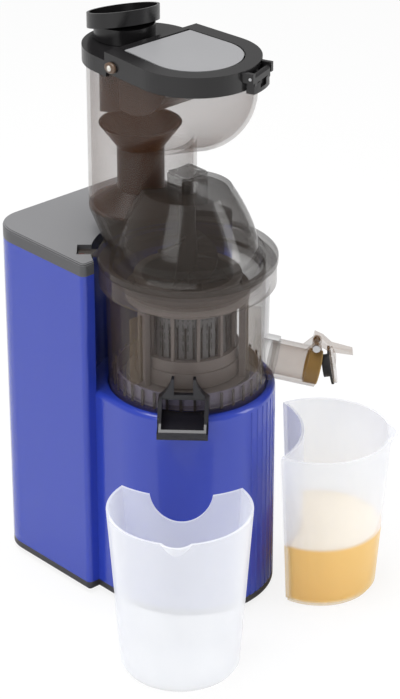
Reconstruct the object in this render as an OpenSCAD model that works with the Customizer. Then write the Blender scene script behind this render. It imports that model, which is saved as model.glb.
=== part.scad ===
// Cold press juicer: a tower with a motor drum, a bowl with a slow auger, a lid with a hopper, and two cups.
// Everything is drawn about the auger axis, with the drum in front (-Y) and the tower behind it (+Y).

/* [Housing] */
// Width of the tower
tower_w = 150; // [140:1:170]
// Depth of the tower, from its front face to its rear face
tower_d = 109; // [95:1:125]
// Distance from the auger axis to the front face of the tower
tower_y = 30; // [28:1:36]
// Height of the tower with its cover
tower_h = 278; // [275:1:283]
// Thickness of the top cover
cover_t = 10; // [8:1:12]
// Radius of the rear corners of the tower
rear_r = 26; // [20:1:30]
// Radius of the front corners of the tower
front_r = 4; // [3:1:6]
// Radius of the front drum
drum_r = 65.4; // [65:0.2:66.4]
// Height of the top edge of the drum
drum_top = 172; // [170:1:174]
// Rounding of the top edge of the drum
drum_edge = 4; // [2:0.5:4.5]
// Wall of the housing
shell = 3; // [2.5:0.5:4]
// Radius of the round cut in the tower that clears the bowl
clear_r = 71; // [70:0.5:73]
// Depth of the recess that the bowl stands in
seat_depth = 8; // [7:0.5:9]
// Number of upright flutes on the right of the drum
flute_n = 15; // [8:1:16]
// Angle between two flutes
flute_step = 6; // [5:0.5:6.5]
// Radius of a flute
flute_r = 1.3; // [1:0.1:1.5]
// Thickness of the base
base_t = 7; // [6:0.5:9]
// Height of a rubber foot below the base
foot_h = 2.6; // [2:0.2:4]
// Radius of a rubber foot
foot_r = 9; // [7:0.5:11]
// Number of cooling slots in the rear wall
vent_n = 9; // [5:1:10]

/* [Drive] */
// Radius of the motor can
motor_r = 37; // [33:1:40]
// Length of the motor can
motor_h = 66; // [60:1:68]
// Module of the gearbox teeth
box_module = 1; // [0.9:0.05:1]
// Teeth of the motor pinion and of the idler pinion
small_teeth = 10; // [10:1:12]
// Teeth of the idler gear and of the output gear
large_teeth = 50; // [48:1:50]
// Thickness of the large gears
gear_t = 9; // [7:1:10]
// Radius of the output shaft
shaft_r = 7.8; // [7:0.1:8]
// Corner radius of the hexagon on the output shaft
hex_r = 7.5; // [6.8:0.1:7.6]

/* [Bowl] */
// Outer radius of the bowl below its rim band
bowl_r = 60.5; // [60:0.25:61]
// Outer radius of the bowl at its foot
bowl_foot_r = 58.6; // [58:0.2:59]
// Height of the top of the bowl
bowl_top = 270; // [268:1:272]
// Outer radius of the rim band
rim_r = 65.5; // [65:0.25:66.5]
// Height of the rim band
rim_h = 17; // [14:1:18]
// Wall of the bowl
bowl_wall = 3; // [2.5:0.25:3.5]
// Outer radius of the juice spout
spout_r = 15; // [13:0.5:15.5]
// Wall of the juice spout
spout_wall = 2; // [1.5:0.25:2.5]
// Distance from the auger axis to the mouth of the spout, along the spout
spout_end = 99; // [90:1:102]
// Fall of the spout below the level
spout_tilt = 12.4; // [8:0.4:13]
// Height at which the axis of the spout crosses the auger axis
spout_z = 204.6; // [204:0.3:206]
// Width of the pulp outlet
pulp_w = 37; // [32:1:38]
// Distance from the auger axis to the lip of the pulp outlet
pulp_end = 87; // [84:1:90]
// Wall of the pulp outlet
pulp_wall = 3; // [2.5:0.25:3.5]

/* [Strainer and auger] */
// Inner radius of the strainer
sieve_r = 33.6; // [33:0.2:34]
// Height of the top of the strainer
sieve_top = 260; // [256:1:262]
// Number of slots in the strainer sheet
slot_n = 36; // [24:6:42]
// Outer radius of the wiper frame
wiper_r = 46; // [45:0.5:47]
// Module of the wiper teeth
wiper_module = 1.5; // [1.4:0.05:1.5]
// Teeth of the gear on the auger
auger_teeth = 26; // [26:2:26]
// Teeth of a wiper pinion
pinion_teeth = 10; // [10:2:10]
// Gap between the auger flight and the strainer
flight_gap = 0.6; // [0.4:0.1:1]
// Pitch of the auger flight
flight_pitch = 34; // [28:1:40]

/* [Lid] */
// Outer radius of the lid flange
flange_r = 66.5; // [66:0.25:68]
// Thickness of the lid flange
flange_t = 6; // [5:0.5:7]
// Radius of the dome at its foot
dome_r = 53; // [51:0.5:54]
// Radius of the flat top of the dome
dome_top_r = 33; // [30:0.5:34]
// Height of the flat top of the dome
dome_top = 327; // [325:1:328]
// Wall of the lid
lid_wall = 2.5; // [2:0.25:3]
// Side of the boss on the dome
boss_w = 23; // [20:1:25]
// Height of the boss above the dome
boss_h = 13; // [10:1:14]

/* [Hopper] */
// Distance from the auger axis back to the axis of the feed tube
tube_y = 49; // [48:0.5:50]
// Outer radius of the feed tube
tube_r = 40; // [39:0.25:41]
// Height at which the feed tube stands on the lid
tube_z = 300; // [298:1:302]
// Distance from the auger axis forward to the centre of the hopper bowl
hopper_y = 9; // [8:0.5:10]
// Outer radius of the hopper bowl
hopper_r = 44; // [43:0.25:45]
// Height of the centre of the hopper bowl
hopper_z = 405; // [403:1:406]
// Height of the top of the hopper frame
frame_top = 431; // [430:0.5:432]
// Drop from the hopper frame to the deck round the pusher
deck_drop = 6.5; // [6:0.25:7]
// Wall of the feed tube and hopper
tube_wall = 2.5; // [2:0.25:3]
// Outer radius of the inner chute
chute_r = 17.5; // [16:0.5:19]
// Radius of the pusher stem
pusher_r = 19.8; // [19:0.2:20]
// Distance from the auger axis back to the pusher
pusher_y = 66; // [65.5:0.25:66.25]
// Radius of the pusher cap
cap_r = 26.5; // [25:0.25:26.75]
// Height of the lower end of the pusher stem
pusher_low = 368; // [366:1:390]
// Radius of the swinging gate about its pin
gate_r = 45; // [42:0.5:47]

/* [Cups] */
// Height of a cup
cup_h = 130; // [120:1:135]
// Radius of a cup at its rim
cup_rim_r = 53; // [50:0.5:54]
// Radius of a cup at its foot
cup_foot_r = 43.5; // [40:0.5:45]
// Radius of the hollow in the rear of a cup
cup_hollow_r = 72; // [70:0.5:76]
// Distance from the tips of the hollow to the centre of the cup
cup_back = 30; // [28:0.5:32]
// Wall of a cup
cup_wall = 2; // [1.6:0.1:2.6]
// How far the pouring lip stands out
lip_out = 5; // [3:0.5:6]
// Distance from the auger axis to the tips of the pulp container
container_out = 90; // [88:1:100]
// Distance from the auger axis to the tips of the juice jug
jug_out = 71; // [70:0.5:76]
// Radius of the scoop in the rear wall of the pulp container
scoop_r = 23; // [20:0.5:24]

/* [Fits] */
// Running clearance between pieces that turn or slide
run = 0.3; // [0.25:0.05:0.4]
// Clearance of a pin or shaft in its bore
fit = 0.1; // [0.08:0.01:0.12]

/* [Hidden] */
$fn = 96;
e = 0.01;

// Where the auger axis stands in the part's frame
axis_x = 7;
axis_y = -2;

blue = "royalblue";
dark = "dimgray";
black = [0.12, 0.12, 0.13];
steel = "silver";
smoke = [0.42, 0.38, 0.36, 0.6];
clear = [0.72, 0.66, 0.6, 0.5];
frost = [0.88, 0.9, 0.94, 0.8];
amber = [0.72, 0.6, 0.35];
rubber = [0.2, 0.2, 0.2];

// Housing levels
base_top = foot_h + base_t;
cover_z = tower_h - cover_t;
seat_z = drum_top - seat_depth;
seat_floor = 3;
cavity_top = seat_z - seat_floor;
rear_y = tower_y + tower_d;
seat_r = bowl_foot_r + 1.6;

// Drive levels, from the base upwards
floor_z = base_top;
fan_z = floor_z + 3;
fan_t = 7;
fan_r = 30;
can_z = fan_z + fan_t + 3;
can_top = can_z + motor_h;
plate_t = 3;
plate_top = can_top + plate_t;
box_z = plate_top;
box_wall = 2.5;
box_module_sum = box_module * (small_teeth + large_teeth) / 2;
idler_y = box_module_sum;
large_r = box_module * large_teeth / 2;
small_r = box_module * small_teeth / 2;
large_tip = large_r + 0.8 * box_module;
stage1_z = box_z + box_wall + 1.5;
stage2_z = stage1_z + gear_t + 5;
box_top = stage2_z + gear_t + 2;
motor_shaft_r = 3;
box_room = large_tip + 1.5;
leg_r = 3.5;
leg_circle = 54;

// Bowl levels
bowl_floor = drum_top + 2;
bowl_floor_t = 3;
hub_r = 11;
hub_top = bowl_floor + 22;
bowl_in_r = bowl_r - bowl_wall;
rim_z = bowl_top - rim_h;
port_w = 24;
port_z = drum_top + 6.5;
port_h = 9;

// Wiper gears
ring_teeth = auger_teeth + 2 * pinion_teeth;
sun_r = wiper_module * auger_teeth / 2;
pinion_r = wiper_module * pinion_teeth / 2;
ring_r = wiper_module * ring_teeth / 2;
pinion_c = sun_r + pinion_r;
tooth_z = bowl_floor + 0.6;
tooth_t = 7;
tooth_top = tooth_z + tooth_t;
post_r = 2.5;

// Strainer and wiper
sheet_t = 0.5;
sheet_r = sieve_r + sheet_t;
foot_z = tooth_top + 1.5;
foot_t = 3;
foot_ring_r = 39.5;
wiper_in = foot_ring_r + 1.2;
blade_t = 2.4;
blade_r = bowl_in_r - 1.3;
wiper_top = 249;

// Lid levels
flange_z = bowl_top;
dome_z = flange_z + flange_t;
skirt_r = bowl_in_r - run;
skirt_h = 12;
boss_top = dome_top + boss_h;
pin_r = 4;

// Hopper levels
deck_t = 3.5;
deck_top = frame_top - deck_drop;
step_y = 38;
hopper_top = frame_top - deck_t;
rear_top = deck_top - deck_t;
skirt_low = frame_top - 15;
rear_skirt_low = deck_top - 12;
frame_grow = 3;
hinge_y = 30;
hinge_z = frame_top - 2.8;
flap_t = 3.2;
open_in = 9;
flap_gap = 1.2;
flap_pin_r = 1.5;
barrel_r = 2.6;
barrel_x = 31.4;
gate_x = 28.2;
gate_t = 2;
chute_top = pusher_low - 5;
lug_in = 35.6;
lug_out = 38.4;
latch_dir = 20;
latch_arc = 30;
latch_w = 24;
latch_z = frame_top - 17;
latch_top = frame_top - 2;
latch_pin_r = 1.2;
latch_in = hopper_r + frame_grow + run;
latch_out = latch_in + 6;
latch_axis_r = latch_in + 3;
latch_axis_z = latch_top - 3;

// Directions of the two outlets, measured from +X
juice_dir = -45;
pulp_dir = -135;

// ---------- shared shapes ----------

module place() translate([axis_x, axis_y, 0]) children();

module disc(z0, z1, r) translate([0, 0, z0]) cylinder(h = z1 - z0, r = r);

module cone(z0, z1, ra, rb) translate([0, 0, z0]) cylinder(h = z1 - z0, r1 = ra, r2 = rb);

module tube(z0, z1, ro, ri) {
    difference() {
        disc(z0, z1, ro);
        disc(z0 - 1, z1 + 1, ri);
    }
}

module layer(z0, z1) translate([0, 0, z0]) linear_extrude(z1 - z0) children();

module box(x0, x1, y0, y1, z0, z1) translate([x0, y0, z0]) cube([x1 - x0, y1 - y0, z1 - z0]);

// A plan with square sides, two front corners and two rear corners
module four_corners(w, y0, y1, rf, rr) {
    translate([-w / 2, y0 + rf]) square([w, y1 - y0 - rf - rr]);
    translate([-w / 2 + rf, y0]) square([w - 2 * rf, rf + rr]);
    translate([-w / 2 + rr, y1 - rr - rf]) square([w - 2 * rr, rr + rf]);
    for (s = [-1, 1]) {
        translate([s * (w / 2 - rf), y0 + rf]) circle(rf);
        translate([s * (w / 2 - rr), y1 - rr]) circle(rr);
    }
}

// Two round ends on the Y axis, joined by their common tangents
module egg(ya, ra, yb, rb) hull() {
    translate([0, ya]) circle(ra, $fn = 80);
    translate([0, yb]) circle(rb, $fn = 80);
}

// The plan of the hopper, grown or shrunk by one amount
module hopper_plan(grow) egg(tube_y, tube_r + grow, -hopper_y, hopper_r + grow);

// Straight-flanked teeth with a tooth on +X; fill is the share of the pitch that a tooth takes
module teeth(n, m, add, ded, fill) {
    rp = m * n / 2;
    half = 90 / n * fill;
    slope = 20;
    tip = half - add * tan(slope) / rp * 180 / PI;
    root = half + ded * tan(slope) / rp * 180 / PI;
    polygon([for (i = [0:n - 1], p = [[-root, -ded], [-tip, add], [tip, add], [root, -ded]])
        (rp + p[1]) * [cos(360 * i / n + p[0]), sin(360 * i / n + p[0])]]);
}

module rounded_square(w, r) {
    square([w, w - 2 * r], center = true);
    square([w - 2 * r, w], center = true);
    for (x = [-1, 1], y = [-1, 1]) translate([x * (w / 2 - r), y * (w / 2 - r)]) circle(r);
}

module gear(n, m, z0, z1, turn = 0, fill = 0.8) {
    layer(z0, z1) rotate(turn) teeth(n, m, 0.75 * m, 1.05 * m, fill);
}

module along_x(x0, x1, r) translate([x0, 0, 0]) rotate([0, 90, 0]) cylinder(h = x1 - x0, r = r);

// ---------- housing ----------

module tower_plan(inset) {
    four_corners(tower_w - 2 * inset, tower_y + inset, rear_y - inset,
        max(front_r - inset, 1), max(rear_r - inset, 1));
}

module drum_plan(inset) {
    circle(drum_r - inset);
    translate([-drum_r + inset, 0]) square([2 * (drum_r - inset), tower_y + shell + 2]);
}

// Upright section of the drum, with its rounded top edge
module drum_section() {
    h = drum_top - base_top;
    translate([-drum_r, 0]) square([2 * drum_r, h - drum_edge]);
    translate([-drum_r + drum_edge, 0]) square([2 * (drum_r - drum_edge), h]);
    for (s = [-1, 1]) translate([s * (drum_r - drum_edge), h - drum_edge]) circle(drum_edge);
}

module drum_solid() {
    translate([0, 0, base_top]) {
        rotate_extrude(angle = 180, start = 180) intersection() {
            drum_section();
            square([drum_r + 1, drum_top]);
        }
        translate([0, tower_y + 1, 0]) rotate([90, 0, 0]) linear_extrude(tower_y + 1) drum_section();
    }
}

module flutes() {
    for (i = [0:flute_n - 1]) rotate(-90 + 3 + i * flute_step)
        translate([drum_r + 0.5, 0, base_top - 1]) cylinder(h = drum_top - base_top - drum_edge, r = flute_r, $fn = 24);
}

rocker_y = rear_y - 40;
rocker_z = 62;
rocker_w = 21;
rocker_h = 29;
inlet_x = -30;
inlet_z = 34;
inlet_r = 7;
pocket_dir = 138;
pocket_w = 17;
button_r = 2.5;
button_rim = 0.6;
button_c = clear_r + shell + button_r + button_rim + run;
pocket_out = button_c + button_r + 1;

module vents() {
    for (i = [0:vent_n - 1]) translate([0, 0, 60 + i * 9]) box(-26, 26, rear_y - shell - 2, rear_y + 1, 0, 3.5);
}

module housing() place() color(blue) difference() {
    union() {
        drum_solid();
        layer(base_top, cover_z) tower_plan(0);
    }
    disc(drum_top, cover_z + 1, clear_r);
    layer(base_top - 1, cavity_top) union() {
        tower_plan(shell);
        drum_plan(shell);
    }
    layer(cavity_top - e, cover_z + 1) difference() {
        tower_plan(shell);
        circle(clear_r + shell);
    }
    disc(seat_z, drum_top + 1, seat_r);
    disc(cavity_top - 1, seat_z + 1, seal_hole_r);
    flutes();
    vents();
    translate([tower_w / 2, rocker_y, rocker_z]) cube([3 * shell, rocker_w, rocker_h], center = true);
    translate([inlet_x, rear_y + 1, inlet_z]) rotate([90, 0, 0]) cylinder(h = shell + 2, r = inlet_r);
}

module pocket(z0, z1) rotate(pocket_dir) box(clear_r - 4, pocket_out, -pocket_w / 2, pocket_w / 2, z0, z1);

module top_cover() place() color(dark) difference() {
    edge = 1.6;
    union() {
        layer(cover_z, tower_h - edge) tower_plan(0);
        layer(tower_h - edge - e, tower_h - edge / 3) tower_plan(edge / 3);
        layer(tower_h - edge / 3 - e, tower_h) tower_plan(edge);
    }
    disc(cover_z - 1, tower_h + 1, clear_r);
    pocket(cover_z + 3, tower_h + 1);
    rotate(pocket_dir) translate([button_c, 0, cover_z - 1]) cylinder(h = cover_t, r = button_r + run);
}

module foot_spots() {
    for (s = [-1, 1]) {
        translate([s * (tower_w / 2 - 20), rear_y - 20]) children();
        translate([s * 40, -32]) children();
    }
}

module screw_spots() {
    for (s = [-1, 1]) {
        translate([s * (tower_w / 2 - 12), tower_y + 16]) children();
        translate([s * (tower_w / 2 - 12), rear_y - 42]) children();
    }
}

module base() place() color(dark) difference() {
    union() {
        edge = 2;
        layer(foot_h + edge, base_top) union() {
            tower_plan(0);
            drum_plan(0);
        }
        layer(foot_h, foot_h + edge + e) union() {
            tower_plan(edge);
            drum_plan(edge);
        }
        for (s = [-1, 1]) translate([board_x + s * (board_t / 2 + run + 1.5), 0, 0])
            box(-1.5, 1.5, board_y - 20, board_y + 20, base_top - e, base_top + 9);
    }
    foot_spots() translate([0, 0, foot_h - 1]) cylinder(h = 3, r = foot_r + fit);
    screw_spots() {
        translate([0, 0, foot_h - 1]) cylinder(h = 4.2, r = 4.2);
        translate([0, 0, foot_h - 1]) cylinder(h = base_t + 3, r = 2 + fit);
    }
    for (a = [0:45:315]) rotate(a) translate([20, 0, foot_h - 1]) cylinder(h = base_t + 3, r = 4);
    disc(foot_h - 1, base_top + 1, 6);
}

module rubber_feet() place() color(rubber) foot_spots() {
    cylinder(h = foot_h + 2, r = foot_r);
}

module case_screws() place() color(steel) screw_spots() {
    difference() {
        union() {
            translate([0, 0, foot_h + 0.5]) cylinder(h = 2.7, r = 4);
            translate([0, 0, foot_h + 3]) cylinder(h = base_t + 4, r = 2);
        }
        for (a = [0, 90]) rotate(a) translate([0, 0, foot_h + 0.9]) cube([5, 1, 1], center = true);
    }
}

module rocker_bezel() place() color(black) difference() {
    translate([tower_w / 2 - shell - 6, rocker_y, rocker_z]) {
        translate([(shell + 6) / 2, 0, 0])
            cube([shell + 6 + e, rocker_w - 2 * fit, rocker_h - 2 * fit], center = true);
        translate([shell + 7, 0, 0]) cube([2, rocker_w + 5, rocker_h + 5], center = true);
    }
    translate([tower_w / 2, rocker_y, rocker_z]) cube([20, rocker_w - 4, rocker_h - 4], center = true);
    translate([tower_w / 2 - 2, rocker_y, rocker_z]) rotate([90, 0, 0])
        cylinder(h = rocker_w - 1.2, r = 1.5 + fit, center = true);
}

module power_rocker() place() color("firebrick") difference() {
    translate([tower_w / 2 - 2, rocker_y, rocker_z]) union() {
        rotate([90, 0, 0]) linear_extrude(rocker_w - 4 - 2 * run, center = true)
            polygon([[-3, -9], [3.6, -11.4], [5.2, -8], [4, 0], [5.2, 8], [3.6, 11.4], [-3, 9]]);
        rotate([90, 0, 0]) cylinder(h = rocker_w - 2, r = 1.5, center = true);
    }
}

module cord_inlet() place() color(black) translate([inlet_x, rear_y, inlet_z]) rotate([-90, 0, 0]) difference() {
    union() {
        translate([0, 0, -shell - 2]) cylinder(h = shell + 3, r = inlet_r - fit);
        cylinder(h = 2.5, r = inlet_r + 2.5);
        translate([0, 0, -shell - 4]) cylinder(h = 4 - run, r = inlet_r + 2);
    }
    translate([0, 0, -shell - 5]) cylinder(h = shell + 9, r = 3.4);
}

switch_top = cover_z - 4;

module interlock_switch() place() color(black) rotate(pocket_dir) difference() {
    union() {
        box(clear_r + shell + fit, clear_r + 17, -8.5, 8.5, switch_top - 13, switch_top);
        box(clear_r + 11, clear_r + 15, -6, 6, switch_top - e, cover_z);
    }
    box(clear_r + shell - 1, clear_r + 18, -6, 6, switch_top - 14, switch_top - 6);
}

module interlock_button() place() color("firebrick") rotate(pocket_dir) translate([button_c, 0, 0]) {
    disc(switch_top + 2.2, cover_z + 6, button_r);
    disc(switch_top + 2.2, cover_z - run, button_r + button_rim);
}

board_x = 52;
board_y = rear_y - 50;
board_t = 1.6;
board_h = 100;

module control_board() place() color("darkgreen") {
    box(board_x - board_t / 2, board_x + board_t / 2, board_y - 30, board_y + 30, base_top + run, base_top + board_h);
    for (z = [30, 52, 74]) box(board_x + board_t / 2 - e, board_x + board_t / 2 + 9, board_y - 18, board_y - 4,
        base_top + z, base_top + z + 13);
    box(board_x + board_t / 2 - e, board_x + board_t / 2 + 12, board_y + 4, board_y + 24,
        base_top + 60, base_top + 88);
}

module capacitor() place() color(steel) translate([board_x - board_t / 2, board_y, base_top + 60]) rotate([0, -90, 0]) {
    cylinder(h = 24, r = 9);
}

// ---------- drive ----------

module motor_can() place() color(steel) difference() {
    disc(can_z, can_top, motor_r);
    disc(can_z + 2, can_top - 2, motor_r - 2);
    disc(can_z - 1, can_top + 1, motor_shaft_r + fit);
    for (a = [0:60:300]) rotate(a) translate([motor_r * 0.62, 0, can_z - 1]) cylinder(h = 4, r = 5);
}

module motor_rotor() place() color(steel) {
    disc(fan_z - 1, stage1_z + gear_t + 1, motor_shaft_r);
    tube(can_z + 8, can_top - 8, motor_r - 9, motor_shaft_r - e);
    gear(small_teeth, box_module, stage1_z, stage1_z + gear_t + 1);
}

module cooling_fan() place() color(black) {
    tube(fan_z, fan_z + fan_t, 8, motor_shaft_r + e);
    tube(fan_z, fan_z + 1.2, fan_r, 7);
    for (a = [0:40:320]) rotate(a) translate([7, -0.8, fan_z]) cube([fan_r - 8, 1.6, fan_t]);
}

module leg_spots() for (a = [210, 330, 90]) rotate(a) translate([leg_circle, 0, 0]) children();

module motor_frame() place() color(steel) {
    difference() {
        disc(can_top, plate_top, leg_circle + 6);
        disc(can_top - 1, plate_top + 1, motor_shaft_r + 4);
        for (a = [30, 150, 270]) rotate(a) translate([46, 0, can_top - 1]) cylinder(h = plate_t + 2, r = 6);
    }
    leg_spots() disc(floor_z, can_top + e, leg_r);
}

// Plan of the gearbox: room for both gears, grown by one amount
module box_plan(grow) egg(idler_y, box_room + grow, 0, box_room + grow + 0.01);

module gearbox_case() place() color("gainsboro") difference() {
    layer(box_z, box_top) box_plan(box_wall);
    layer(box_z + box_wall, box_top + 1) box_plan(0);
    disc(box_z - 1, box_z + box_wall + 1, motor_shaft_r + 4);
    translate([0, idler_y, 0]) disc(box_z - 1, box_top, motor_shaft_r + fit);
}

module gearbox_cover() place() color("gainsboro") difference() {
    union() {
        layer(box_top, box_top + 3) box_plan(box_wall);
        disc(box_top, cavity_top - run, seal_hole_r + 3);
    }
    disc(box_top - 1, cavity_top + 1, shaft_r + fit);
    translate([0, idler_y, 0]) disc(box_top - 1, box_top + 4, motor_shaft_r + fit);
}

module idler_gear() place() color("ivory") translate([0, idler_y, 0]) difference() {
    union() {
        gear(large_teeth, box_module, stage1_z, stage1_z + gear_t, idler_turn);
        gear(small_teeth, box_module, stage1_z + gear_t - e, stage2_z + gear_t + 0.5, pinion_turn);
        disc(stage1_z + gear_t - e, stage2_z - 1, small_r + 3);
    }
    disc(stage1_z - 1, box_top, motor_shaft_r + fit);
}

// The teeth face each other along +Y, where a tooth of one sits in a gap of the other
function gap_at(dir, n) = dir - 180 / n - round((dir - 180 / n) * n / 360) * 360 / n;
function tooth_at(dir, n) = dir - round(dir * n / 360) * 360 / n;
rotor_gap = abs(tooth_at(90, small_teeth)) > 90 / small_teeth;
idler_turn = rotor_gap ? tooth_at(270, large_teeth) : gap_at(270, large_teeth);
pinion_turn = tooth_at(270, small_teeth);
output_turn = gap_at(90, large_teeth);

module idler_pin() place() color(steel) translate([0, idler_y, 0]) disc(box_z, box_top + 3, motor_shaft_r);

seal_hole_r = 13;
shaft_top = hub_top + 18;

module output_shaft() place() color(steel) {
    gear(large_teeth, box_module, stage2_z, stage2_z + gear_t, output_turn);
    disc(stage2_z + gear_t - e, hub_top - 8, shaft_r);
    translate([0, 0, hub_top - 8 - e]) cylinder(h = shaft_top - hub_top + 8, r = hex_r, $fn = 6);
}

module shaft_seal() place() color(rubber) difference() {
    union() {
        disc(cavity_top + 0.4, seat_z + 1.5, seal_hole_r - fit);
        disc(seat_z, seat_z + 1.5, seal_hole_r + 3);
    }
    disc(cavity_top, seat_z + 3, shaft_r + fit);
}

// ---------- bowl ----------

module bowl_wall_profile() {
    polygon([
        [bowl_foot_r - 3, seat_z], [bowl_foot_r - 1, seat_z], [bowl_foot_r, seat_z + 2],
        [bowl_r - 1, drum_top + 6], [bowl_r, rim_z - 14], [bowl_r, rim_z - 1.5],
        [rim_r - 1, rim_z], [rim_r, rim_z + 1], [rim_r, bowl_top - 1], [rim_r - 1, bowl_top],
        [bowl_in_r, bowl_top], [bowl_in_r, rim_z - 14], [bowl_in_r - 1, bowl_floor + 4],
        [bowl_in_r - 4, bowl_floor], [hub_r, bowl_floor], [hub_r, hub_top],
        [shaft_r + fit, hub_top], [shaft_r + fit, bowl_floor - bowl_floor_t],
        [bowl_foot_r - 3, bowl_floor - bowl_floor_t]]);
}

module at_spout() rotate(juice_dir) translate([0, 0, spout_z]) rotate([0, spout_tilt, 0]) children();

module at_pulp() rotate(pulp_dir) children();

spout_bore = spout_r - spout_wall;
boss_end = (bowl_r + 5) / cos(spout_tilt);
plug_at = 20;

module bowl() place() color(smoke) difference() {
    union() {
        rotate_extrude() bowl_wall_profile();
        difference() {
            at_spout() along_x(bowl_r - 8, boss_end, spout_r + 2);
            disc(seat_z, bowl_top, bowl_in_r - 0.5);
        }
        for (s = [-1, 1]) translate([0, s * pinion_c, 0]) disc(bowl_floor - e, foot_z, post_r);
    }
    at_spout() along_x(30, boss_end + 1, spout_bore + fit);
    at_pulp() box(bowl_in_r - 12, bowl_r + 4, -port_w / 2, port_w / 2, port_z, port_z + port_h);
    rotate(plug_at) translate([44, 0, bowl_floor - 5]) cylinder(h = 8, r = 7 + fit);
}

module bowl_plug() place() color(rubber) rotate(plug_at) translate([44, 0, 0]) {
    disc(bowl_floor - bowl_floor_t - 1.5, bowl_floor, 7);
    disc(bowl_floor - bowl_floor_t - 1.5, bowl_floor - bowl_floor_t, 9);
}

// The pulp outlet hugs the bowl and pours over a sloping tray
tray_in_z = port_z;
tray_out_z = drum_top - 3.5;
arch_z = port_z + port_h + 4;

module pulp_outlet() place() color(black) at_pulp() {
    difference() {
        rotate([90, 0, 0]) linear_extrude(pulp_w, center = true) polygon([
            [bowl_r - 6, arch_z], [bowl_r + 6, arch_z], [bowl_r + 13, arch_z - 8],
            [pulp_end - 6, tray_out_z + 8], [pulp_end, tray_out_z + 4], [pulp_end, tray_out_z - 2],
            [pulp_end - 4, tray_out_z - 4], [drum_r + 2.6, drum_top - 4.5], [drum_r + 0.6, drum_top + 0.5],
            [bowl_r - 6, drum_top + 0.5]]);
        rotate([90, 0, 0]) linear_extrude(pulp_w - 2 * pulp_wall, center = true) polygon([
            [bowl_r - 9, arch_z - 4], [bowl_r + 4, arch_z - 4], [bowl_r + 4, arch_z + 9], [pulp_end - 2, arch_z + 9],
            [pulp_end - 2, tray_out_z], [bowl_r - 9, tray_in_z]]);
        for (s = [-1, 1]) translate([0, s * (pulp_w / 2), 0]) box(pulp_end - 9, pulp_end + 1,
            -pulp_wall * 0.4, pulp_wall * 0.4, tray_out_z + 3, arch_z);
        for (s = [-1, 1]) translate([0, s * pulp_w / 2, arch_z]) rotate([45, 0, 0])
            cube([2 * pulp_end, 4.6, 4.6], center = true);
        disc(seat_z, arch_z + 2, bowl_r + 0.1);
    }
    difference() {
        for (s = [0, 1]) mirror([0, s, 0]) translate([bowl_r - 4, 0, 0]) rotate([90, 0, 90]) linear_extrude(9)
            polygon([[7, arch_z - 2], [15, arch_z - 2], [15, arch_z], [12.4, arch_z + 3.5], [9.8, arch_z + 8.5],
                [8.9, arch_z + 13], [6.9, arch_z + 13]]);
        disc(seat_z, arch_z + 20, bowl_r + 0.1);
    }
}

module juice_spout() place() color(clear) difference() {
    union() {
        at_spout() along_x(boss_end, spout_end, spout_r);
        at_spout() along_x(boss_end - 5, boss_end + e, spout_bore);
        at_spout() for (s = [-1, 1]) hull() {
            translate([pivot_x, s * 6.2, pivot_h]) rotate([90, 0, 0]) cylinder(h = 2.4, r = 4, center = true, $fn = 32);
            translate([pivot_x - 5, s * 6.2, spout_r - 3]) cube([8, 2.4, 2], center = true);
        }
    }
    at_spout() along_x(boss_end - 9, spout_end - 9, spout_bore - 1.4);
    at_spout() along_x(spout_end - 9 - e, spout_end + 1, spout_bore);
    at_spout() translate([pivot_x, 0, pivot_h]) rotate([90, 0, 0]) cylinder(h = 30, r = screw_r + fit, center = true);
}

module spout_lining() place() color(amber) at_spout() difference() {
    along_x(spout_end - 9, spout_end + 1.2, spout_bore - fit);
    along_x(spout_end - 12, spout_end + 3, spout_bore - 2);
}

pivot_x = spout_end - 5.2;
pivot_h = spout_r + 3.6;
screw_r = 1.6;
lever_w = 9.4;
lever_t = 2.4;
open_angle = 22;
seal_x = spout_end + 1.6;
seal_t = 1.6;

// Side outline of the lever from its heel over the pivot to the thumb tip; x runs along the spout
module lever_plan() {
    difference() {
        union() {
            translate([pivot_x, pivot_h]) circle(3.2);
            polygon([[pivot_x - 3.6, pivot_h + 2], [pivot_x - 3.6, pivot_h + 8.5], [pivot_x + 3.1, pivot_h + 7],
                [pivot_x + 10.8, pivot_h + 2.2], [pivot_x + 26.9, pivot_h + 1.4], [pivot_x + 27.8, pivot_h - 0.4],
                [pivot_x + 18, pivot_h - 1.2], [pivot_x + 10.5, pivot_h - 2], [pivot_x + 2, pivot_h + 1]]);
        }
        translate([pivot_x, pivot_h]) circle(screw_r + fit);
    }
}

// Turns a piece drawn with the spout shut to the open place
module opened() translate([pivot_x, 0, pivot_h]) rotate([0, -open_angle, 0]) translate([-pivot_x, 0, -pivot_h]) children();

module spout_lever() place() color(clear) at_spout() {
    rotate([90, 0, 0]) linear_extrude(lever_w, center = true) lever_plan();
    opened() {
        difference() {
            along_x(seal_x + seal_t, seal_x + seal_t + lever_t, spout_r - 1.2);
            box(spout_end, spout_end + 20, -20, 20, spout_r - 3.5, 20);
        }
        rotate([90, 0, 0]) linear_extrude(lever_w - 1, center = true) polygon([
            [seal_x + seal_t + 0.2, pivot_h - 3.4], [pivot_x + 11, pivot_h - 6], [seal_x + seal_t + lever_t + 2, spout_r - 9],
            [seal_x + seal_t + lever_t - e, spout_r - 18], [seal_x + seal_t, spout_r - 5.5]]);
    }
}

module lever_seal() place() color(black) at_spout() opened() difference() {
    union() {
        along_x(seal_x, seal_x + seal_t, spout_r - 0.4);
        along_x(seal_x - 5, seal_x + e, spout_bore - 4.5);
    }
    box(spout_end - 10, spout_end + 20, -20, 20, spout_r - 3.2, 20);
}

module lever_screw() place() color(steel) at_spout() translate([pivot_x, 0, pivot_h]) rotate([90, 0, 0]) {
    cylinder(h = 15.4, r = screw_r, center = true);
    for (s = [-1, 1]) translate([0, 0, s * 8.2]) cylinder(h = 1.4, r = 2.8, center = true);
}

// ---------- strainer, wiper and auger ----------

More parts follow.
